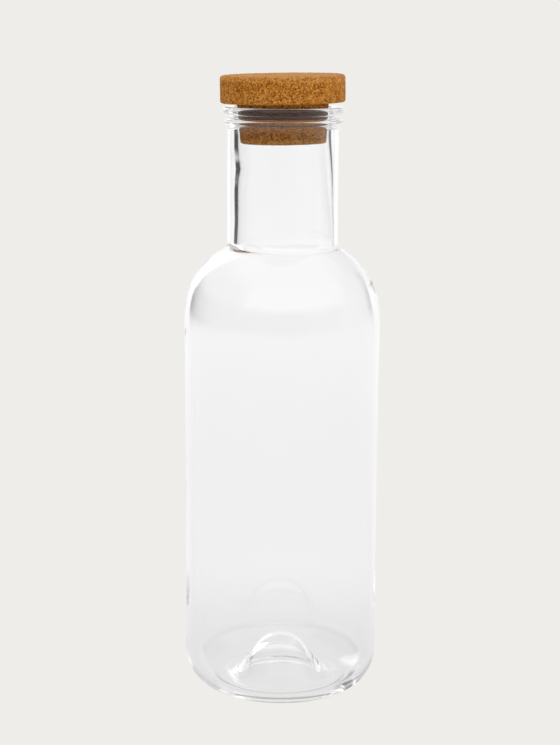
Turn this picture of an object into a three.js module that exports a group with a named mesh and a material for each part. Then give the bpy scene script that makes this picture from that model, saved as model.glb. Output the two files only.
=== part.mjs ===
// Glass carafe with a cork stopper. Millimetres, +Z up, origin at the middle of the base.
import * as THREE from "three";

// Facets round the axis
const AROUND = 56;

// Foot: a hollow rises under the middle, and a narrow flat ring carries the weight
const HOLLOW_HEIGHT = 19.7;
const HOLLOW_CROWN_REACH = 14;
const HOLLOW_FOOT_REACH = 10;
const REST_RING_INNER_RADIUS = 25;
const REST_RING_OUTER_RADIUS = 28.3;
const HEEL_HEIGHT = 17.9;

// Body outside: nearly straight, with a faint waist between foot and shoulder
const BODY_FOOT_RADIUS = 44.1;
const BODY_WAIST_REACH_RADIUS = 43.6;
const BODY_WAIST_LOW = 60;
const BODY_WAIST_HIGH = 120;
const BODY_TOP_RADIUS = 44.2;
const BODY_TOP_HEIGHT = 168;

// Shoulder outside: full below, easing to a straight slope that meets the neck in a small fillet
const SHOULDER_SLOPE = THREE.MathUtils.degToRad(33.7);
const SHOULDER_LOW_REACH = 19.6;
const SHOULDER_HIGH_REACH = 14.5;
const SHOULDER_END_HEIGHT = 203.4;
const NECK_RADIUS = 24.75;
const NECK_FILLET_RADIUS = 4.4;

// Mouth outside: a thin ring, a groove, then the rounded lip
const RING_FILLET_FOOT = 256.6;
const RING_FILLET_REACH = 1.6;
const RING_RADIUS = 26.95;
const RING_MIDDLE_HEIGHT = 260.2;
const RING_HALF_DEPTH = 1.2;
const RING_HALF_THICKNESS = 0.95;
const RING_START_ANGLE = THREE.MathUtils.degToRad(-50);
const GROOVE_REACH_RADIUS = 24.9;
const LIP_RADIUS = 27.15;
const LIP_TOP_HEIGHT = 266.8;
const LIP_HALF_DEPTH = 1.55;
const LIP_HALF_THICKNESS = 1.7;
const MOUTH_EDGE_WIDTH = 1.9;
const MOUTH_EDGE_HEIGHT = 1.8;

// Bore: narrowest under the stopper, wider towards the shoulder
const BORE_MOUTH_RADIUS = 20.7;
const BORE_THROAT_RADIUS = 20.2;
const BORE_THROAT_HEIGHT = 254;
const BORE_FOOT_RADIUS = 22.2;

// Inside of the shoulder, the body and the bottom
const INNER_SHOULDER_HIGH_REACH = 14.5;
const INNER_SHOULDER_LOW_REACH = 19.6;
const INNER_TOP_RADIUS = 41.2;
const INNER_WAIST_REACH_RADIUS = 40.6;
const INNER_FOOT_RADIUS = 41;
const INNER_HEEL_WIDTH = 12.8;
const INNER_HEEL_HEIGHT = 14;
const BOTTOM_THICKNESS = 3.8;
const DOME_TOP_HEIGHT = 23.9;
const DOME_CROWN_REACH = 14;
const DOME_FOOT_REACH = 13.3;

// Stopper: a disc head on a tapered plug, seated very slightly askew
const HEAD_RADIUS = 27.75;
const HEAD_UNDERSIDE_HEIGHT = 268.6;
const HEAD_TOP_HEIGHT = 280.7;
const HEAD_TOP_ROUNDING = 1.5;
const HEAD_UNDERSIDE_ROUNDING = 0.9;
const PLUG_TOP_RADIUS = 20.3;
const PLUG_TIP_RADIUS = 19.15;
const PLUG_TIP_HEIGHT = 251;
const PLUG_TIP_ROUNDING = 1.3;
const STOPPER_TILT = THREE.MathUtils.degToRad(1);
const STOPPER_TILT_HEIGHT = 259;

const QUARTER = Math.PI / 2;
const FILLET_SLOPE_ANGLE = 3 * QUARTER - SHOULDER_SLOPE;

function point(radius, height) {
  return new THREE.Vector2(radius, height);
}

// A straight step of the profile
function straight(from, to) {
  return { curve: new THREE.LineCurve(from, to), parts: 1 };
}

// A smooth sweep that leaves "from" towards "nearFrom" and arrives at "to" from "nearTo"
function sweep(from, nearFrom, nearTo, to, parts) {
  return { curve: new THREE.CubicBezierCurve(from, nearFrom, nearTo, to), parts };
}

// Part of an ellipse, turning from one angle to the other
function round(centre, halfWidth, halfHeight, fromAngle, toAngle, parts) {
  const clockwise = toAngle < fromAngle;
  const curve = new THREE.EllipseCurve(
    centre.x,
    centre.y,
    halfWidth,
    halfHeight,
    fromAngle,
    toAngle,
    clockwise,
  );
  return { curve, parts };
}

// Turns a profile, given as radius and height, about the upright axis
function turned(steps) {
  const profile = [];
  for (const { curve, parts } of steps) {
    for (const place of curve.getPoints(parts)) {
      const last = profile.at(-1);
      if (!last || last.distanceTo(place) > 1e-3) profile.push(place);
    }
  }
  const geometry = new THREE.LatheGeometry(profile, AROUND);
  geometry.rotateX(QUARTER);
  return geometry;
}

function bottleOutside() {
  const hollowTop = point(0, HOLLOW_HEIGHT);
  const restRingInner = point(REST_RING_INNER_RADIUS, 0);
  const restRingOuter = point(REST_RING_OUTER_RADIUS, 0);
  const heelCentre = point(REST_RING_OUTER_RADIUS, HEEL_HEIGHT);
  const bodyFoot = point(BODY_FOOT_RADIUS, HEEL_HEIGHT);
  const bodyTop = point(BODY_TOP_RADIUS, BODY_TOP_HEIGHT);
  const filletCentre = filletCentreBeside(NECK_RADIUS);
  const slopeEnd = slopeEndOfFillet(filletCentre);
  const neckFoot = point(NECK_RADIUS, filletCentre.y);
  const ringFilletFoot = point(NECK_RADIUS, RING_FILLET_FOOT);
  const ringCentre = point(RING_RADIUS - RING_HALF_DEPTH, RING_MIDDLE_HEIGHT);
  const ringStart = point(
    ringCentre.x + RING_HALF_DEPTH * Math.cos(RING_START_ANGLE),
    ringCentre.y + RING_HALF_THICKNESS * Math.sin(RING_START_ANGLE),
  );
  const ringTop = point(ringCentre.x, RING_MIDDLE_HEIGHT + RING_HALF_THICKNESS);
  const lipCentre = point(LIP_RADIUS - LIP_HALF_DEPTH, LIP_TOP_HEIGHT - LIP_HALF_THICKNESS);
  const lipFoot = point(lipCentre.x, lipCentre.y - LIP_HALF_THICKNESS);
  return [
    sweep(
      hollowTop,
      point(HOLLOW_CROWN_REACH, HOLLOW_HEIGHT),
      point(REST_RING_INNER_RADIUS - HOLLOW_FOOT_REACH, 0),
      restRingInner,
      10,
    ),
    straight(restRingInner, restRingOuter),
    round(heelCentre, BODY_FOOT_RADIUS - REST_RING_OUTER_RADIUS, HEEL_HEIGHT, -QUARTER, 0, 9),
    sweep(
      bodyFoot,
      point(BODY_WAIST_REACH_RADIUS, BODY_WAIST_LOW),
      point(BODY_WAIST_REACH_RADIUS, BODY_WAIST_HIGH),
      bodyTop,
      4,
    ),
    sweep(
      bodyTop,
      point(BODY_TOP_RADIUS, BODY_TOP_HEIGHT + SHOULDER_LOW_REACH),
      point(
        slopeEnd.x + SHOULDER_HIGH_REACH * Math.cos(SHOULDER_SLOPE),
        slopeEnd.y - SHOULDER_HIGH_REACH * Math.sin(SHOULDER_SLOPE),
      ),
      slopeEnd,
      12,
    ),
    round(filletCentre, NECK_FILLET_RADIUS, NECK_FILLET_RADIUS, FILLET_SLOPE_ANGLE, 2 * QUARTER, 4),
    straight(neckFoot, ringFilletFoot),
    sweep(
      ringFilletFoot,
      point(NECK_RADIUS, RING_FILLET_FOOT + RING_FILLET_REACH),
      point((NECK_RADIUS + ringStart.x) / 2, ringStart.y - RING_HALF_THICKNESS / 2),
      ringStart,
      3,
    ),
    round(ringCentre, RING_HALF_DEPTH, RING_HALF_THICKNESS, RING_START_ANGLE, QUARTER, 5),
    sweep(
      ringTop,
      point(GROOVE_REACH_RADIUS, ringTop.y),
      point(GROOVE_REACH_RADIUS, lipFoot.y),
      lipFoot,
      4,
    ),
    round(lipCentre, LIP_HALF_DEPTH, LIP_HALF_THICKNESS, -QUARTER, QUARTER, 8),
  ];
}

function bottleInside() {
  const mouthEdgeCentre = point(
    BORE_MOUTH_RADIUS + MOUTH_EDGE_WIDTH,
    LIP_TOP_HEIGHT - MOUTH_EDGE_HEIGHT,
  );
  const boreMouth = point(BORE_MOUTH_RADIUS, mouthEdgeCentre.y);
  const throat = point(BORE_THROAT_RADIUS, BORE_THROAT_HEIGHT);
  const filletCentre = filletCentreBeside(BORE_FOOT_RADIUS);
  const boreFoot = point(BORE_FOOT_RADIUS, filletCentre.y);
  const slopeStart = slopeEndOfFillet(filletCentre);
  const bodyTop = point(INNER_TOP_RADIUS, BODY_TOP_HEIGHT);
  const heelTop = point(INNER_FOOT_RADIUS, BOTTOM_THICKNESS + INNER_HEEL_HEIGHT);
  const heelCentre = point(INNER_FOOT_RADIUS - INNER_HEEL_WIDTH, heelTop.y);
  const valley = point(heelCentre.x, BOTTOM_THICKNESS);
  return [
    round(mouthEdgeCentre, MOUTH_EDGE_WIDTH, MOUTH_EDGE_HEIGHT, QUARTER, 2 * QUARTER, 3),
    straight(boreMouth, throat),
    straight(throat, boreFoot),
    round(filletCentre, NECK_FILLET_RADIUS, NECK_FILLET_RADIUS, 2 * QUARTER, FILLET_SLOPE_ANGLE, 4),
    sweep(
      slopeStart,
      point(
        slopeStart.x + INNER_SHOULDER_HIGH_REACH * Math.cos(SHOULDER_SLOPE),
        slopeStart.y - INNER_SHOULDER_HIGH_REACH * Math.sin(SHOULDER_SLOPE),
      ),
      point(INNER_TOP_RADIUS, BODY_TOP_HEIGHT + INNER_SHOULDER_LOW_REACH),
      bodyTop,
      10,
    ),
    sweep(
      bodyTop,
      point(INNER_WAIST_REACH_RADIUS, BODY_WAIST_HIGH),
      point(INNER_WAIST_REACH_RADIUS, BODY_WAIST_LOW),
      heelTop,
      4,
    ),
    round(heelCentre, INNER_HEEL_WIDTH, INNER_HEEL_HEIGHT, 0, -QUARTER, 8),
    sweep(
      valley,
      point(valley.x - DOME_FOOT_REACH, BOTTOM_THICKNESS),
      point(DOME_CROWN_REACH, DOME_TOP_HEIGHT),
      point(0, DOME_TOP_HEIGHT),
      10,
    ),
  ];
}

// The fillet at the foot of the neck turns about this point: it has one size and height on both
// faces of the wall, so the wall keeps its thickness sideways and thins down the slope
function filletCentreBeside(neckWallRadius) {
  const slopeLift = NECK_FILLET_RADIUS * Math.cos(SHOULDER_SLOPE);
  return point(neckWallRadius + NECK_FILLET_RADIUS, SHOULDER_END_HEIGHT + slopeLift);
}

// Where that fillet runs into the shoulder's slope
function slopeEndOfFillet(centre) {
  return point(
    centre.x + NECK_FILLET_RADIUS * Math.cos(FILLET_SLOPE_ANGLE),
    centre.y + NECK_FILLET_RADIUS * Math.sin(FILLET_SLOPE_ANGLE),
  );
}

function bottleGeometry() {
  return turned([...bottleOutside(), ...bottleInside()]);
}

function stopperGeometry() {
  const tipCentre = point(PLUG_TIP_RADIUS - PLUG_TIP_ROUNDING, PLUG_TIP_HEIGHT + PLUG_TIP_ROUNDING);
  const tipCorner = point(PLUG_TIP_RADIUS, tipCentre.y);
  const plugTop = point(PLUG_TOP_RADIUS, HEAD_UNDERSIDE_HEIGHT);
  const lowerCorner = point(
    HEAD_RADIUS - HEAD_UNDERSIDE_ROUNDING,
    HEAD_UNDERSIDE_HEIGHT + HEAD_UNDERSIDE_ROUNDING,
  );
  const upperCorner = point(HEAD_RADIUS - HEAD_TOP_ROUNDING, HEAD_TOP_HEIGHT - HEAD_TOP_ROUNDING);
  const geometry = turned([
    straight(point(0, PLUG_TIP_HEIGHT), point(tipCentre.x, PLUG_TIP_HEIGHT)),
    round(tipCentre, PLUG_TIP_ROUNDING, PLUG_TIP_ROUNDING, -QUARTER, 0, 4),
    straight(tipCorner, plugTop),
    straight(plugTop, point(lowerCorner.x, HEAD_UNDERSIDE_HEIGHT)),
    round(lowerCorner, HEAD_UNDERSIDE_ROUNDING, HEAD_UNDERSIDE_ROUNDING, -QUARTER, 0, 4),
    round(upperCorner, HEAD_TOP_ROUNDING, HEAD_TOP_ROUNDING, 0, QUARTER, 5),
    straight(point(upperCorner.x, HEAD_TOP_HEIGHT), point(0, HEAD_TOP_HEIGHT)),
  ]);
  geometry.translate(0, 0, -STOPPER_TILT_HEIGHT);
  geometry.rotateY(-STOPPER_TILT);
  geometry.translate(0, 0, STOPPER_TILT_HEIGHT);
  return geometry;
}

function piece(name, geometry, material) {
  const mesh = new THREE.Mesh(geometry, material);
  mesh.name = name;
  return mesh;
}

const clearGlass = new THREE.MeshStandardMaterial({
  color: 0xf2f4f2,
  roughness: 0.04,
  metalness: 0,
  transparent: true,
  opacity: 0.35,
});

const cork = new THREE.MeshStandardMaterial({
  color: 0xa3682e,
  roughness: 0.85,
  metalness: 0,
});

const carafe = new THREE.Group();
carafe.name = "glass_carafe";
carafe.add(piece("bottle", bottleGeometry(), clearGlass));
carafe.add(piece("stopper", stopperGeometry(), cork));

export default carafe;
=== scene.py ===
"""A clear glass carafe closed by a cork stopper, in metres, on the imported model's frame."""

import math

import bpy
import numpy as np
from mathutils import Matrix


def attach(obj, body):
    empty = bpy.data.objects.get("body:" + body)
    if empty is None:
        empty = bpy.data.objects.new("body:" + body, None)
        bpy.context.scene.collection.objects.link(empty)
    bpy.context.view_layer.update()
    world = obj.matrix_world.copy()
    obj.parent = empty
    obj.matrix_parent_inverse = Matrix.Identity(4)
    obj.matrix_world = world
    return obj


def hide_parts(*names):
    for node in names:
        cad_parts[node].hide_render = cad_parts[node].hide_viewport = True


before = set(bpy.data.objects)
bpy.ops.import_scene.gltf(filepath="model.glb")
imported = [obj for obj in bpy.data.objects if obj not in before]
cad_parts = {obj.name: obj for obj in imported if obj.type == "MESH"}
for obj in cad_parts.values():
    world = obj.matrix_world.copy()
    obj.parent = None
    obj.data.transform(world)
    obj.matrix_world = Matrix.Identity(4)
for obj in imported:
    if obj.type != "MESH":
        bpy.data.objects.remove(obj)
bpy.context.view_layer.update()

MM = 0.001
QUARTER = math.pi / 2
SEED = 7

# Camera, fitted to the photograph: it stands a little higher than the stopper and looks down
CAMERA_DISTANCE = 850.5
CAMERA_HEIGHT = 309.8
CAMERA_PITCH = math.radians(10.854)
CAMERA_TURN = math.radians(0.053)
CAMERA_ROLL = math.radians(0.311)
CAMERA_LENS = 91.98
CAMERA_SENSOR = 36.0

# Bottle foot, millimetres
HOLLOW_HEIGHT = 19.7
HOLLOW_CROWN_REACH = 14
HOLLOW_FOOT_REACH = 10
REST_RING_INNER_RADIUS = 25
REST_RING_OUTER_RADIUS = 28.3
HEEL_HEIGHT = 17.9

# Bottle body and shoulder
BODY_FOOT_RADIUS = 44.1
BODY_WAIST_REACH_RADIUS = 43.6
BODY_WAIST_LOW = 60
BODY_WAIST_HIGH = 120
BODY_TOP_RADIUS = 44.2
BODY_TOP_HEIGHT = 168
SHOULDER_SLOPE = math.radians(33.7)
SHOULDER_LOW_REACH = 19.6
SHOULDER_HIGH_REACH = 14.5
SHOULDER_END_HEIGHT = 203.4
NECK_RADIUS = 24.75
NECK_FILLET_RADIUS = 4.4

# Bottle mouth
RING_FILLET_FOOT = 256.6
RING_FILLET_REACH = 1.6
RING_RADIUS = 26.95
RING_MIDDLE_HEIGHT = 260.2
RING_HALF_DEPTH = 1.2
RING_HALF_THICKNESS = 0.95
RING_START_ANGLE = math.radians(-50)
GROOVE_REACH_RADIUS = 24.9
LIP_RADIUS = 27.15
LIP_TOP_HEIGHT = 266.8
LIP_HALF_DEPTH = 1.55
LIP_HALF_THICKNESS = 1.7
MOUTH_EDGE_WIDTH = 1.9
MOUTH_EDGE_HEIGHT = 1.8

# Bottle inside
BORE_MOUTH_RADIUS = 20.7
BORE_THROAT_RADIUS = 20.2
BORE_THROAT_HEIGHT = 254
BORE_FOOT_RADIUS = 22.2
INNER_SHOULDER_HIGH_REACH = 14.5
INNER_SHOULDER_LOW_REACH = 19.6
INNER_TOP_RADIUS = 41.2
INNER_WAIST_REACH_RADIUS = 40.6
INNER_FOOT_RADIUS = 41
INNER_HEEL_WIDTH = 12.8
INNER_HEEL_HEIGHT = 14
BOTTOM_THICKNESS = 3.8
DOME_TOP_HEIGHT = 23.9
DOME_CROWN_REACH = 14
DOME_FOOT_REACH = 13.3

# Stopper
HEAD_RADIUS = 27.75
HEAD_UNDERSIDE_HEIGHT = 268.6
HEAD_TOP_HEIGHT = 280.7
HEAD_TOP_ROUNDING = 1.5
HEAD_UNDERSIDE_ROUNDING = 0.9
PLUG_TOP_RADIUS = 20.3
PLUG_TIP_RADIUS = 19.15
PLUG_TIP_HEIGHT = 251
PLUG_TIP_ROUNDING = 1.3
STOPPER_TILT = math.radians(1)
STOPPER_TILT_HEIGHT = 259
STOPPER_STEP = 0.55
STOPPER_AROUND = 300

# Cork relief, and cork noises as a grain size and a number of finer layers, in millimetres
CORK_RELIEF = 0.09
COARSE_RELIEF_CELL = 0.9
FINE_RELIEF_CELL = 0.45
FINE_RELIEF = 0.6
CORK_GRANULE = 0.7
CORK_CRUMB = (0.7, 4)
CORK_PATCH = (5, 2)
CORK_SPECK = (0.7, 2)
CORK_SPECK_EDGE = (0.62, 0.7)
CORK_CHIP = (0.8, 1)
CORK_CHIP_EDGE = (0.6, 0.68)

# Cork places, heights in metres
CORK_TIP = (0.2518, 0.2535)
# Painted shade: a band of the plug just under the lip is coloured near black, where the lip and the head's
# overhang shadow it
PAINTED_SHADE_BAND = (0.262, 0.2672, 0.0006)
PAINTED_SHADE_WANDER = 0.0012
# Painted highlight: the head's upper rim, where light from above falls, is coloured lighter
CORK_RIM_HIGHLIGHT = (0.278, 0.2798, 0.0006)
# Painted sheen: the head's top face is coloured paler
CORK_TOP_SHEEN = (0.2797, 0.2804)

# Cork tones, and the colours that they stand for
GRANULE_TONE = 0.5
CRUMB_TONE = 1.3
PATCH_TONE = 0.2
BASE_TONE = -0.5
RIM_HIGHLIGHT_TONE = 0.12
TIP_TONE = 0.22
TOP_SHEEN_TONE = -0.04
CORK_COLOURS = [
    (0.1, (0.17, 0.04, 0.002)),
    (0.4, (0.49, 0.155, 0.01)),
    (0.62, (0.7, 0.26, 0.028)),
    (0.88, (0.84, 0.45, 0.12)),
]
# Painted sheen colour for the head's top face, and how far it is blended in
TOP_SHEEN_COLOUR = (0.85, 0.52, 0.27, 1)
TOP_SHEEN_SHARE = 0.25
CHIP_COLOUR = (0.9, 0.56, 0.22, 1)
CHIP_SHARE = 0.6
SPECK_COLOUR = (0.13, 0.03, 0.002, 1)
SPECK_SHARE = 0.8
# Painted shade colour for the shadowed band on the plug, and how far it is blended in
PAINTED_SHADE_COLOUR = (0.06, 0.01, 0.001, 1)
PAINTED_SHADE_SHARE = 0.9
CRUMB_BUMP = 0.6
GRANULE_BUMP = 0.4
SPECK_BUMP = 0.5
CORK_BUMP = {"Strength": 0.6, "Distance": 0.00035}
CORK_ROUGHNESS = 0.8
CRUMB_ROUGHNESS = 0.2
CORK_SPECULAR = 0.15

# Glass look, with noises given as the cork's are
GLASS_COLOUR = (0.988, 0.988, 0.988, 1)
GLASS_IOR = 1.5
GLASS_RIPPLE = (22, 1)
GLASS_BUMP = {"Strength": 0.06, "Distance": 0.002}
GLASS_HAZE = (8, 3)
GLASS_HAZE_EDGE = (0.55, 0.9)
GLASS_HAZE_ROUGHNESS = 0.01

# Uneven inner wall, millimetres
BORE_DRIFT = 1.2
BORE_DRIFT_HEIGHTS = (186, 205, 215, 256)
SWELLING = 0.7
SWELLING_HEIGHT = 240
SWELLING_REACH = 5
WALL_WAVE = 0.14
WALL_WAVE_CELL = 15
WALL_WAVE_HEIGHTS = (30, 45, 240, 250)
BOTTLE_AROUND = 256
NOISE_LATTICE = 48

# Studio backdrop and floor sheet
BACKDROP = (0.863, 0.847, 0.815)
FLOOR_REACH = 30000
FLOOR_DROP = 0.4

# Room bands: from and to degrees round from straight behind, growing to the right, then softness
SHEET = (-39, 44, 3)
SHEET_LIGHT = 0.92
WALL = (54, 105, 4)
WALL_LIGHT = 0.42
CORNER = (105, 150, 15)
CORNER_LIGHT = 0.2
FLAG = (-76, -39, 3)
FLAG_DEPTH = 0.9
ROOM_DARK = 0.12

# Floor light: bands round as in the room, distances from the carafe's axis in metres
FLOOR_UNDER = 0.79
UNDER_EDGE = (0.03, 0.2)
FLOOR_FRONT = 0.68
FLOOR_BEHIND = 0.25
BEHIND = (-62, 62, 45)
BEHIND_GROWTH = 0.2
BEHIND_GROWTH_EDGE = (0.4, 1.1)
ROOM_EDGE = (0.9, 2.6)
FOOT_SHADE = 0.55
FOOT_SHADE_TURN = (85, 120)
FOOT_SHADE_RING = (0.0305, 0.0325, 0.0009)
HEEL_SHADE = 0.9
HEEL_SHADE_TURN = (92, 128, 10)
HEEL_SHADE_RING = (0.035, 0.040, 0.0015)

# Light from above: bands round as in the room, rises as the height of a direction of length one
HIGH_LIGHT = 1.1
HIGH_BACK = (-45, 35, 10)
HIGH_BACK_LOSS = 0.3
HIGH_RIGHT = (35, 88, 10)
HIGH_RIGHT_LOSS = 0.5
HIGH_LEFT = (-130, -45, 10)
HIGH_LEFT_LOSS = 0.6
HIGH_EDGE = (0.14, 0.3)
CEILING_LIGHT = 1.0
CEILING_EDGE = (0.55, 0.9)
STRIP = (-40, -18, 4)
STRIP_RISE = (0.12, 0.62, 0.06)
STRIP_LIGHT = 1.6

# Light paths: many bounces, because light runs far inside the thick glass
GLASS_BOUNCES = 1024
DIFFUSE_BOUNCES = 4


def point(radius, height):
    return np.array([radius, height], float)


def straight(start, end, parts):
    """Start plus a growing share of the way to end, in this many even parts."""
    share = np.linspace(0, 1, parts + 1)[:, None]
    return start + (end - start) * share


def sweep(start, near_start, near_end, end, parts):
    """Cubic blend of four points: it leaves start towards near_start and comes to end from near_end."""
    t = np.linspace(0, 1, parts + 1)[:, None]
    u = 1 - t
    return u**3 * start + 3 * u**2 * t * near_start + 3 * u * t**2 * near_end + t**3 * end


def rounded(centre, half_width, half_height, start_angle, end_angle, parts):
    """Centre plus half width times cosine and half height times sine, as the angle turns."""
    angle = np.linspace(start_angle, end_angle, parts + 1)
    return centre + np.stack([half_width * np.cos(angle), half_height * np.sin(angle)], axis=1)


def chained(*steps):
    """One profile of all the steps, without the points that two neighbours share."""
    profile = np.concatenate(steps)
    gaps = np.linalg.norm(np.diff(profile, axis=0), axis=1)
    return profile[np.concatenate([[True], gaps > 1e-4])]


def neck_fillet_centre():
    """Beside the neck by the fillet's radius, and lifted so that the fillet meets the shoulder's slope."""
    lift = NECK_FILLET_RADIUS * math.cos(SHOULDER_SLOPE)
    return point(NECK_RADIUS + NECK_FILLET_RADIUS, SHOULDER_END_HEIGHT + lift)


def down_the_slope(start, reach):
    """The point that lies this far down the shoulder's slope from start."""
    return start + reach * np.array([math.cos(SHOULDER_SLOPE), -math.sin(SHOULDER_SLOPE)])


def bottle_outside():
    """Radius and height of the bottle's skin, from the hollow's crown up to the lip.

    Each step ends with the number of parts that it is cut into.
    """
    fillet = neck_fillet_centre()
    slope_angle = 3 * QUARTER - SHOULDER_SLOPE
    neck_turn = rounded(fillet, NECK_FILLET_RADIUS, NECK_FILLET_RADIUS, slope_angle, 2 * QUARTER, 16)
    slope_end = neck_turn[0]
    body_foot = point(BODY_FOOT_RADIUS, HEEL_HEIGHT)
    body_top = point(BODY_TOP_RADIUS, BODY_TOP_HEIGHT)
    ring_centre = point(RING_RADIUS - RING_HALF_DEPTH, RING_MIDDLE_HEIGHT)
    ring = rounded(ring_centre, RING_HALF_DEPTH, RING_HALF_THICKNESS, RING_START_ANGLE, QUARTER, 16)
    lip_centre = point(LIP_RADIUS - LIP_HALF_DEPTH, LIP_TOP_HEIGHT - LIP_HALF_THICKNESS)
    lip = rounded(lip_centre, LIP_HALF_DEPTH, LIP_HALF_THICKNESS, -QUARTER, QUARTER, 26)
    ring_foot = point(NECK_RADIUS, RING_FILLET_FOOT)
    return chained(
        sweep(
            point(0, HOLLOW_HEIGHT),
            point(HOLLOW_CROWN_REACH, HOLLOW_HEIGHT),
            point(REST_RING_INNER_RADIUS - HOLLOW_FOOT_REACH, 0),
            point(REST_RING_INNER_RADIUS, 0),
            30,
        ),
        straight(point(REST_RING_INNER_RADIUS, 0), point(REST_RING_OUTER_RADIUS, 0), 2),
        rounded(
            point(REST_RING_OUTER_RADIUS, HEEL_HEIGHT),
            BODY_FOOT_RADIUS - REST_RING_OUTER_RADIUS,
            HEEL_HEIGHT,
            -QUARTER,
            0,
            32,
        ),
        sweep(
            body_foot,
            point(BODY_WAIST_REACH_RADIUS, BODY_WAIST_LOW),
            point(BODY_WAIST_REACH_RADIUS, BODY_WAIST_HIGH),
            body_top,
            24,
        ),
        sweep(
            body_top,
            point(BODY_TOP_RADIUS, BODY_TOP_HEIGHT + SHOULDER_LOW_REACH),
            down_the_slope(slope_end, SHOULDER_HIGH_REACH),
            slope_end,
            44,
        ),
        neck_turn,
        straight(point(NECK_RADIUS, fillet[1]), ring_foot, 8),
        sweep(
            ring_foot,
            point(NECK_RADIUS, RING_FILLET_FOOT + RING_FILLET_REACH),
            point((NECK_RADIUS + ring[0][0]) / 2, ring[0][1] - RING_HALF_THICKNESS / 2),
            ring[0],
            10,
        ),
        ring,
        sweep(
            ring[-1],
            point(GROOVE_REACH_RADIUS, ring[-1][1]),
            point(GROOVE_REACH_RADIUS, lip[0][1]),
            lip[0],
            12,
        ),
        lip,
    )


def bottle_inside():
    """Radius and height of the inner wall, from the lip down the bore to the dome's crown, likewise."""
    edge_centre = point(BORE_MOUTH_RADIUS + MOUTH_EDGE_WIDTH, LIP_TOP_HEIGHT - MOUTH_EDGE_HEIGHT)
    throat = point(BORE_THROAT_RADIUS, BORE_THROAT_HEIGHT)
    fillet = point(BORE_FOOT_RADIUS + NECK_FILLET_RADIUS, neck_fillet_centre()[1])
    slope_angle = 3 * QUARTER - SHOULDER_SLOPE
    neck_turn = rounded(fillet, NECK_FILLET_RADIUS, NECK_FILLET_RADIUS, 2 * QUARTER, slope_angle, 16)
    body_top = point(INNER_TOP_RADIUS, BODY_TOP_HEIGHT)
    heel_top = point(INNER_FOOT_RADIUS, BOTTOM_THICKNESS + INNER_HEEL_HEIGHT)
    heel_centre = point(INNER_FOOT_RADIUS - INNER_HEEL_WIDTH, heel_top[1])
    valley = point(heel_centre[0], BOTTOM_THICKNESS)
    return chained(
        rounded(edge_centre, MOUTH_EDGE_WIDTH, MOUTH_EDGE_HEIGHT, QUARTER, 2 * QUARTER, 12),
        straight(point(BORE_MOUTH_RADIUS, edge_centre[1]), throat, 3),
        straight(throat, neck_turn[0], 10),
        neck_turn,
        sweep(
            neck_turn[-1],
            down_the_slope(neck_turn[-1], INNER_SHOULDER_HIGH_REACH),
            point(INNER_TOP_RADIUS, BODY_TOP_HEIGHT + INNER_SHOULDER_LOW_REACH),
            body_top,
            36,
        ),
        sweep(
            body_top,
            point(INNER_WAIST_REACH_RADIUS, BODY_WAIST_HIGH),
            point(INNER_WAIST_REACH_RADIUS, BODY_WAIST_LOW),
            heel_top,
            24,
        ),
        rounded(heel_centre, INNER_HEEL_WIDTH, INNER_HEEL_HEIGHT, 0, -QUARTER, 28),
        sweep(
            valley,
            point(valley[0] - DOME_FOOT_REACH, BOTTOM_THICKNESS),
            point(DOME_CROWN_REACH, DOME_TOP_HEIGHT),
            point(0, DOME_TOP_HEIGHT),
            30,
        ),
    )


def stopper_profile():
    """Radius and height from the plug's tip out and up to the middle of the head, a point each step."""
    tip = point(PLUG_TIP_RADIUS - PLUG_TIP_ROUNDING, PLUG_TIP_HEIGHT + PLUG_TIP_ROUNDING)
    plug_top = point(PLUG_TOP_RADIUS, HEAD_UNDERSIDE_HEIGHT)
    lower = point(HEAD_RADIUS - HEAD_UNDERSIDE_ROUNDING, HEAD_UNDERSIDE_HEIGHT + HEAD_UNDERSIDE_ROUNDING)
    upper = point(HEAD_RADIUS - HEAD_TOP_ROUNDING, HEAD_TOP_HEIGHT - HEAD_TOP_ROUNDING)
    corners = chained(
        straight(point(0, PLUG_TIP_HEIGHT), point(tip[0], PLUG_TIP_HEIGHT), 1),
        rounded(tip, PLUG_TIP_ROUNDING, PLUG_TIP_ROUNDING, -QUARTER, 0, 12),
        straight(point(PLUG_TIP_RADIUS, tip[1]), plug_top, 1),
        straight(plug_top, point(lower[0], HEAD_UNDERSIDE_HEIGHT), 1),
        rounded(lower, HEAD_UNDERSIDE_ROUNDING, HEAD_UNDERSIDE_ROUNDING, -QUARTER, 0, 8),
        rounded(upper, HEAD_TOP_ROUNDING, HEAD_TOP_ROUNDING, 0, QUARTER, 12),
        straight(point(upper[0], HEAD_TOP_HEIGHT), point(0, HEAD_TOP_HEIGHT), 1),
    )
    along = np.concatenate([[0], np.cumsum(np.linalg.norm(np.diff(corners, axis=0), axis=1))])
    places = np.linspace(0, along[-1], round(along[-1] / STOPPER_STEP) + 1)
    return np.stack([np.interp(places, along, corners[:, k]) for k in (0, 1)], axis=1)


def turned_mesh(profile, around):
    """Profile point i carried round the axis: x = r sin a, y = -r cos a, z = h, closed at both poles."""
    angle = np.linspace(0, 2 * math.pi, around, endpoint=False)
    rings = profile[1:-1]
    x = rings[:, :1] * np.sin(angle)
    y = -rings[:, :1] * np.cos(angle)
    z = np.repeat(rings[:, 1:], around, axis=1)
    grid = np.stack([x, y, z], axis=2).reshape(-1, 3)
    poles = np.array([[0, 0, profile[0, 1]], [0, 0, profile[-1, 1]]])
    vertices = np.concatenate([grid, poles])
    here = np.arange(around)
    beyond = np.roll(here, -1)
    rows = np.arange(len(rings) - 1)[:, None] * around
    quads = np.stack([rows + here, rows + beyond, rows + around + beyond, rows + around + here], axis=2)
    last = (len(rings) - 1) * around
    first_pole = np.full(around, len(grid))
    last_pole = first_pole + 1
    first_cap = np.stack([first_pole, beyond, here], axis=1)
    last_cap = np.stack([last + here, last + beyond, last_pole], axis=1)
    return vertices, [*quads.reshape(-1, 4).tolist(), *first_cap.tolist(), *last_cap.tolist()]


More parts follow.
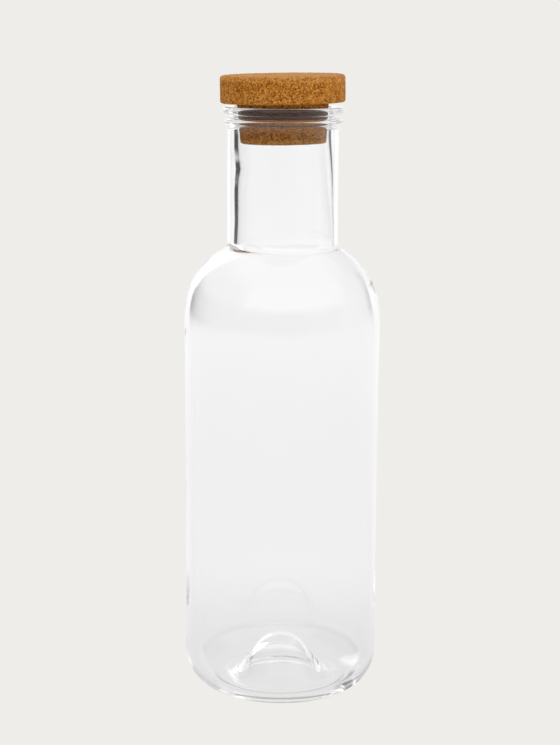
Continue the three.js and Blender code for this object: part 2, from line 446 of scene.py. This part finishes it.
def piece(name, vertices, faces, material):
    """A smooth mesh piece of these vertices, in millimetres, and faces."""
    mesh = bpy.data.meshes.new(name)
    mesh.from_pydata(vertices * MM, [], faces)
    mesh.polygons.foreach_set("use_smooth", np.ones(len(mesh.polygons), bool))
    mesh.materials.append(material)
    mesh.update()
    made = bpy.data.objects.new(name, mesh)
    bpy.context.collection.objects.link(made)
    return made


def soft_noise(places, cell, seed):
    """A seeded lattice of random values, blended between its points with an eased share per axis."""
    lattice = np.random.default_rng(seed).random((NOISE_LATTICE,) * 3) * 2 - 1
    scaled = places / cell
    base = np.floor(scaled).astype(int)
    share = scaled - base
    share = share * share * (3 - 2 * share)
    total = np.zeros(len(places))
    for corner in np.ndindex(2, 2, 2):
        index = (base + corner) % NOISE_LATTICE
        weight = np.prod(np.where(corner, share, 1 - share), axis=1)
        total += weight * lattice[index[:, 0], index[:, 1], index[:, 2]]
    return total


def outward(vertices, faces):
    """Unit normal at each vertex, the mean of its faces' normals."""
    quads = np.array([face if len(face) == 4 else [*face, face[-1]] for face in faces])
    diagonal = vertices[quads[:, 2]] - vertices[quads[:, 0]]
    across = vertices[quads[:, 3]] - vertices[quads[:, 1]]
    face_normal = np.cross(diagonal, across)
    normal = np.zeros_like(vertices)
    for corner in range(4):
        np.add.at(normal, quads[:, corner], face_normal)
    return normal / np.linalg.norm(normal, axis=1, keepdims=True)


class Signal:
    """One output of a node; sums and products of signals and numbers add Math nodes."""

    def __init__(self, nodes, socket):
        self.nodes = nodes
        self.socket = socket

    def _maths(self, operation, first, second=0.0):
        return self.nodes.add("ShaderNodeMath", {"operation": operation}, {0: first, 1: second})

    def __abs__(self):
        return self._maths("ABSOLUTE", self)

    def __add__(self, other):
        return self._maths("ADD", self, other)

    def __radd__(self, other):
        return self._maths("ADD", other, self)

    def __sub__(self, other):
        return self._maths("SUBTRACT", self, other)

    def __rsub__(self, other):
        return self._maths("SUBTRACT", other, self)

    def __mul__(self, other):
        return self._maths("MULTIPLY", self, other)

    def __rmul__(self, other):
        return self._maths("MULTIPLY", other, self)


class Nodes:
    """The node tree of one material or of the world."""

    def __init__(self, owner):
        owner.use_nodes = True
        self.tree = owner.node_tree
        self.tree.nodes.clear()

    def add(self, kind, settings=None, inputs=None, output=0):
        """A node of this type, its settings first, then its sockets' values or links; gives one output."""
        made = self.tree.nodes.new(kind)
        for key, value in (settings or {}).items():
            if key == "stops":
                self._set_stops(made.color_ramp, value)
            else:
                setattr(made, key, value)
        for key, value in (inputs or {}).items():
            if isinstance(value, Signal):
                self.tree.links.new(value.socket, made.inputs[key])
            else:
                made.inputs[key].default_value = value
        return Signal(self, made.outputs[output]) if made.outputs else None

    def _set_stops(self, ramp, stops):
        for _ in stops[2:]:
            ramp.elements.new(0.5)
        for element, (place, colour) in zip(ramp.elements, stops):
            element.position = place
            element.color = (*colour, 1)

    def eased(self, signal, low, high):
        """0 below low, 1 above high, and a smooth step between."""
        inputs = {"Value": signal, "From Min": low, "From Max": high}
        return self.add("ShaderNodeMapRange", {"interpolation_type": "SMOOTHSTEP"}, inputs)

    def between(self, signal, low, high, soft):
        """1 from low to high and 0 outside, with edges this soft."""
        rise = self.eased(signal, low - soft, low + soft)
        return rise * (1 - self.eased(signal, high - soft, high + soft))

    def blend(self, share, first, second):
        """The first number where share is 0, the second where it is 1."""
        return self.add("ShaderNodeMix", {"data_type": "FLOAT"}, {0: share, 2: first, 3: second})

    def blend_colours(self, share, first, second):
        """The first colour where share is 0, the second where it is 1."""
        return self.add("ShaderNodeMix", {"data_type": "RGBA"}, {0: share, 6: first, 7: second}, output=2)

    def noise(self, places, cell, layers):
        """Cloudy noise between 0 and 1: blobs about this many millimetres across, and finer layers."""
        inputs = {"Vector": places, "Scale": 1 / (cell * MM), "Detail": layers}
        return self.add("ShaderNodeTexNoise", None, inputs)

    def one_of(self, axis, vector):
        """The X, Y or Z of a vector."""
        return self.add("ShaderNodeSeparateXYZ", None, {"Vector": vector}, output=axis)

    def object_places(self):
        return self.add("ShaderNodeTexCoord", output="Object")

    def principled(self, inputs):
        return self.add("ShaderNodeBsdfPrincipled", None, inputs)

    def bumped(self, height, sockets):
        return self.add("ShaderNodeBump", None, {"Height": height, **sockets})

    def finish_with(self, shader):
        self.add("ShaderNodeOutputMaterial", None, {"Surface": shader})


def clear_glass():
    """Colourless blown glass: slow ripples in its skin and a trace of haze."""
    material = bpy.data.materials.new("clear_glass")
    nodes = Nodes(material)
    places = nodes.object_places()
    ripple = nodes.noise(places, *GLASS_RIPPLE)
    haze = nodes.eased(nodes.noise(places, *GLASS_HAZE), *GLASS_HAZE_EDGE)
    shader = nodes.principled(
        {
            "Base Color": GLASS_COLOUR,
            "Roughness": GLASS_HAZE_ROUGHNESS * haze,
            "IOR": GLASS_IOR,
            "Transmission Weight": 1.0,
            "Normal": nodes.bumped(ripple, GLASS_BUMP),
        }
    )
    nodes.finish_with(shader)
    return material


def pressed_cork():
    """Cork crumb glued under pressure: tan and brown granules, pale chips and dark specks between."""
    material = bpy.data.materials.new("pressed_cork")
    nodes = Nodes(material)
    places = nodes.object_places()
    granules = {"Vector": places, "Scale": 1 / (CORK_GRANULE * MM)}
    granule_colour = nodes.add("ShaderNodeTexVoronoi", None, granules, output="Color")
    granule = nodes.add("ShaderNodeSeparateColor", None, {"Color": granule_colour}, output="Red")
    crumb = nodes.noise(places, *CORK_CRUMB)
    patch = nodes.noise(places, *CORK_PATCH)
    speck = nodes.eased(nodes.noise(places, *CORK_SPECK), *CORK_SPECK_EDGE)
    chip = nodes.eased(nodes.noise(places, *CORK_CHIP), *CORK_CHIP_EDGE)
    height = nodes.one_of("Z", places)
    # Painted highlight along the head's upper rim, where light from above falls
    rim_highlight = nodes.between(height, *CORK_RIM_HIGHLIGHT)
    tip = 1 - nodes.eased(height, *CORK_TIP)
    # Painted sheen on the head's top face: a paler colour, with the tone a little lower
    top_sheen = nodes.eased(height, *CORK_TOP_SHEEN)
    # Painted shade: a near-black band on the plug under the lip, its edges wandering with the patches
    painted_shade = nodes.between(height + PAINTED_SHADE_WANDER * patch, *PAINTED_SHADE_BAND)
    grain_tone = GRANULE_TONE * granule + CRUMB_TONE * crumb + PATCH_TONE * patch + BASE_TONE
    tone = grain_tone + RIM_HIGHLIGHT_TONE * rim_highlight + TIP_TONE * tip + TOP_SHEEN_TONE * top_sheen
    colour = nodes.add("ShaderNodeValToRGB", {"stops": CORK_COLOURS}, {"Fac": tone})
    colour = nodes.blend_colours(TOP_SHEEN_SHARE * top_sheen, colour, TOP_SHEEN_COLOUR)
    colour = nodes.blend_colours(CHIP_SHARE * chip, colour, CHIP_COLOUR)
    colour = nodes.blend_colours(SPECK_SHARE * speck, colour, SPECK_COLOUR)
    colour = nodes.blend_colours(PAINTED_SHADE_SHARE * painted_shade, colour, PAINTED_SHADE_COLOUR)
    relief = CRUMB_BUMP * crumb + GRANULE_BUMP * granule - SPECK_BUMP * speck
    shader = nodes.principled(
        {
            "Base Color": colour,
            "Roughness": CORK_ROUGHNESS + CRUMB_ROUGHNESS * crumb,
            "Specular IOR Level": CORK_SPECULAR,
            "Normal": nodes.bumped(relief, CORK_BUMP),
        }
    )
    nodes.finish_with(shader)
    return material


def uneven_inside(vertices, first_inner):
    """Inner wall as blown: x grows by a drift and a swelling on the left, the radius by slow noise."""
    height = vertices[:, 2]
    inner = np.arange(len(vertices)) >= first_inner
    radius = np.maximum(np.hypot(vertices[:, 0], vertices[:, 1]), 1)
    across = vertices[:, :2] / radius[:, None]
    drift = BORE_DRIFT * np.interp(height, BORE_DRIFT_HEIGHTS, [0, 1, 1, 0])
    left = np.clip(-across[:, 0], 0, 1)
    swelling = SWELLING * left * np.exp(-(((height - SWELLING_HEIGHT) / SWELLING_REACH) ** 2))
    wave = WALL_WAVE * soft_noise(vertices, WALL_WAVE_CELL, SEED + 2)
    wave *= np.interp(height, WALL_WAVE_HEIGHTS, [0, 1, 1, 0])
    shift = across * wave[:, None]
    shift[:, 0] += drift + swelling
    return vertices + np.column_stack([np.where(inner[:, None], shift, 0), np.zeros(len(vertices))])


def build_bottle():
    outside = bottle_outside()
    vertices, faces = turned_mesh(chained(outside, bottle_inside()), BOTTLE_AROUND)
    vertices = uneven_inside(vertices, BOTTLE_AROUND * len(outside))
    bottle = piece("bottle_glass", vertices, faces, clear_glass())
    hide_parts("bottle")
    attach(bottle, "root")


def build_stopper():
    """Each point moves along its normal by the crumb's relief, then all turn about the mouth by the tilt."""
    vertices, faces = turned_mesh(stopper_profile(), STOPPER_AROUND)
    coarse = soft_noise(vertices, COARSE_RELIEF_CELL, SEED)
    relief = coarse + FINE_RELIEF * soft_noise(vertices, FINE_RELIEF_CELL, SEED + 1)
    vertices = vertices + outward(vertices, faces) * (relief * CORK_RELIEF)[:, None]
    lever = vertices - [0, 0, STOPPER_TILT_HEIGHT]
    cosine = math.cos(STOPPER_TILT)
    sine = math.sin(STOPPER_TILT)
    tilted = np.stack(
        [
            lever[:, 0] * cosine - lever[:, 2] * sine,
            lever[:, 1],
            lever[:, 0] * sine + lever[:, 2] * cosine + STOPPER_TILT_HEIGHT,
        ],
        axis=1,
    )
    stopper = piece("stopper_cork", tilted, faces, pressed_cork())
    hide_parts("stopper")
    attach(stopper, "root")


def camera():
    """Stands in front of the carafe, looks along +Y and down by the pitch, with a trace of roll."""
    data = bpy.data.cameras.new("camera")
    data.lens = CAMERA_LENS
    data.sensor_width = CAMERA_SENSOR
    made = bpy.data.objects.new("camera", data)
    made.location = (0, -CAMERA_DISTANCE * MM, CAMERA_HEIGHT * MM)
    made.rotation_mode = "XYZ"
    made.rotation_euler = (QUARTER - CAMERA_PITCH, 0, CAMERA_TURN)
    made.rotation_euler.rotate_axis("Z", CAMERA_ROLL)
    bpy.context.collection.objects.link(made)
    bpy.context.scene.camera = made


def azimuth_of(nodes, direction):
    """Degrees round from straight behind the carafe, growing to the right: the arctangent of x over y."""
    inputs = {0: nodes.one_of("X", direction), 1: nodes.one_of("Y", direction)}
    return math.degrees(1) * nodes.add("ShaderNodeMath", {"operation": "ARCTAN2"}, inputs)


def room_light(nodes, azimuth):
    """Light that comes level: the lit sheet behind, a pale wall and corner right, a black flag left."""
    sheet = nodes.between(azimuth, *SHEET)
    wall = nodes.between(azimuth, *WALL)
    corner = nodes.between(azimuth, *CORNER)
    flag = nodes.between(azimuth, *FLAG)
    dark = ROOM_DARK * (1 - FLAG_DEPTH * flag)
    return dark + SHEET_LIGHT * sheet + WALL_LIGHT * wall + CORNER_LIGHT * corner


def backdrop_shader(nodes, kind, light):
    """An even pale backdrop for the camera, and the studio's light for everything else."""
    to_camera = nodes.add("ShaderNodeLightPath", output="Is Camera Ray")
    flat = nodes.add(kind, None, {"Color": (*BACKDROP, 1), "Strength": 1.0})
    lit_colour = nodes.add("ShaderNodeCombineColor", None, {"Red": light, "Green": light, "Blue": light})
    lit = nodes.add(kind, None, {"Color": lit_colour, "Strength": 1.0})
    return nodes.add("ShaderNodeMixShader", None, {0: to_camera, 1: lit, 2: flat})


def studio_floor():
    """A plain pale sheet that gives light: soft contact shades by the foot, and the room further off."""
    material = bpy.data.materials.new("floor_paper")
    nodes = Nodes(material)
    places = nodes.object_places()
    azimuth = azimuth_of(nodes, places)
    length = {"operation": "LENGTH"}
    distance = nodes.add("ShaderNodeVectorMath", length, {"Vector": places}, output="Value")
    growth = 1 + BEHIND_GROWTH * nodes.eased(distance, *BEHIND_GROWTH_EDGE)
    round_about = FLOOR_FRONT + FLOOR_BEHIND * nodes.between(azimuth, *BEHIND) * growth
    near = nodes.blend(nodes.eased(distance, *UNDER_EDGE), FLOOR_UNDER, round_about)
    foot_front = nodes.eased(abs(azimuth), *FOOT_SHADE_TURN)
    foot_shade = foot_front * nodes.between(distance, *FOOT_SHADE_RING)
    heel_right = nodes.between(azimuth, *HEEL_SHADE_TURN)
    heel_shade = heel_right * nodes.between(distance, *HEEL_SHADE_RING)
    near = near * (1 - FOOT_SHADE * foot_shade) * (1 - HEEL_SHADE * heel_shade)
    light = nodes.blend(nodes.eased(distance, *ROOM_EDGE), near, room_light(nodes, azimuth))
    nodes.finish_with(backdrop_shader(nodes, "ShaderNodeEmission", light))
    corners = np.array([[-1, -1], [1, -1], [1, 1], [-1, 1]]) * FLOOR_REACH
    sheet = np.column_stack([corners, np.full(4, -FLOOR_DROP)])
    piece("floor", sheet, [[0, 1, 2, 3]], material)


def studio_light():
    """Soft light from above all round, and a bright strip up behind the carafe on the left."""
    world = bpy.data.worlds.new("studio")
    nodes = Nodes(world)
    direction = nodes.add("ShaderNodeTexCoord", output="Generated")
    azimuth = azimuth_of(nodes, direction)
    rise = nodes.one_of("Z", direction)
    back = nodes.between(azimuth, *HIGH_BACK)
    right = nodes.between(azimuth, *HIGH_RIGHT)
    left = nodes.between(azimuth, *HIGH_LEFT)
    above = HIGH_LIGHT - HIGH_BACK_LOSS * back - HIGH_RIGHT_LOSS * right - HIGH_LEFT_LOSS * left
    above = nodes.blend(nodes.eased(rise, *CEILING_EDGE), above, CEILING_LIGHT)
    light = nodes.blend(nodes.eased(rise, *HIGH_EDGE), room_light(nodes, azimuth), above)
    strip = nodes.between(azimuth, *STRIP) * nodes.between(rise, *STRIP_RISE)
    shader = backdrop_shader(nodes, "ShaderNodeBackground", light + STRIP_LIGHT * strip)
    nodes.add("ShaderNodeOutputWorld", None, {"Surface": shader})
    bpy.context.scene.world = world


def light_paths():
    scene = bpy.context.scene
    scene.view_settings.view_transform = "Standard"
    scene.cycles.max_bounces = GLASS_BOUNCES
    scene.cycles.glossy_bounces = GLASS_BOUNCES
    scene.cycles.transmission_bounces = GLASS_BOUNCES
    scene.cycles.diffuse_bounces = DIFFUSE_BOUNCES


camera()
studio_floor()
studio_light()
light_paths()
build_bottle()
build_stopper()
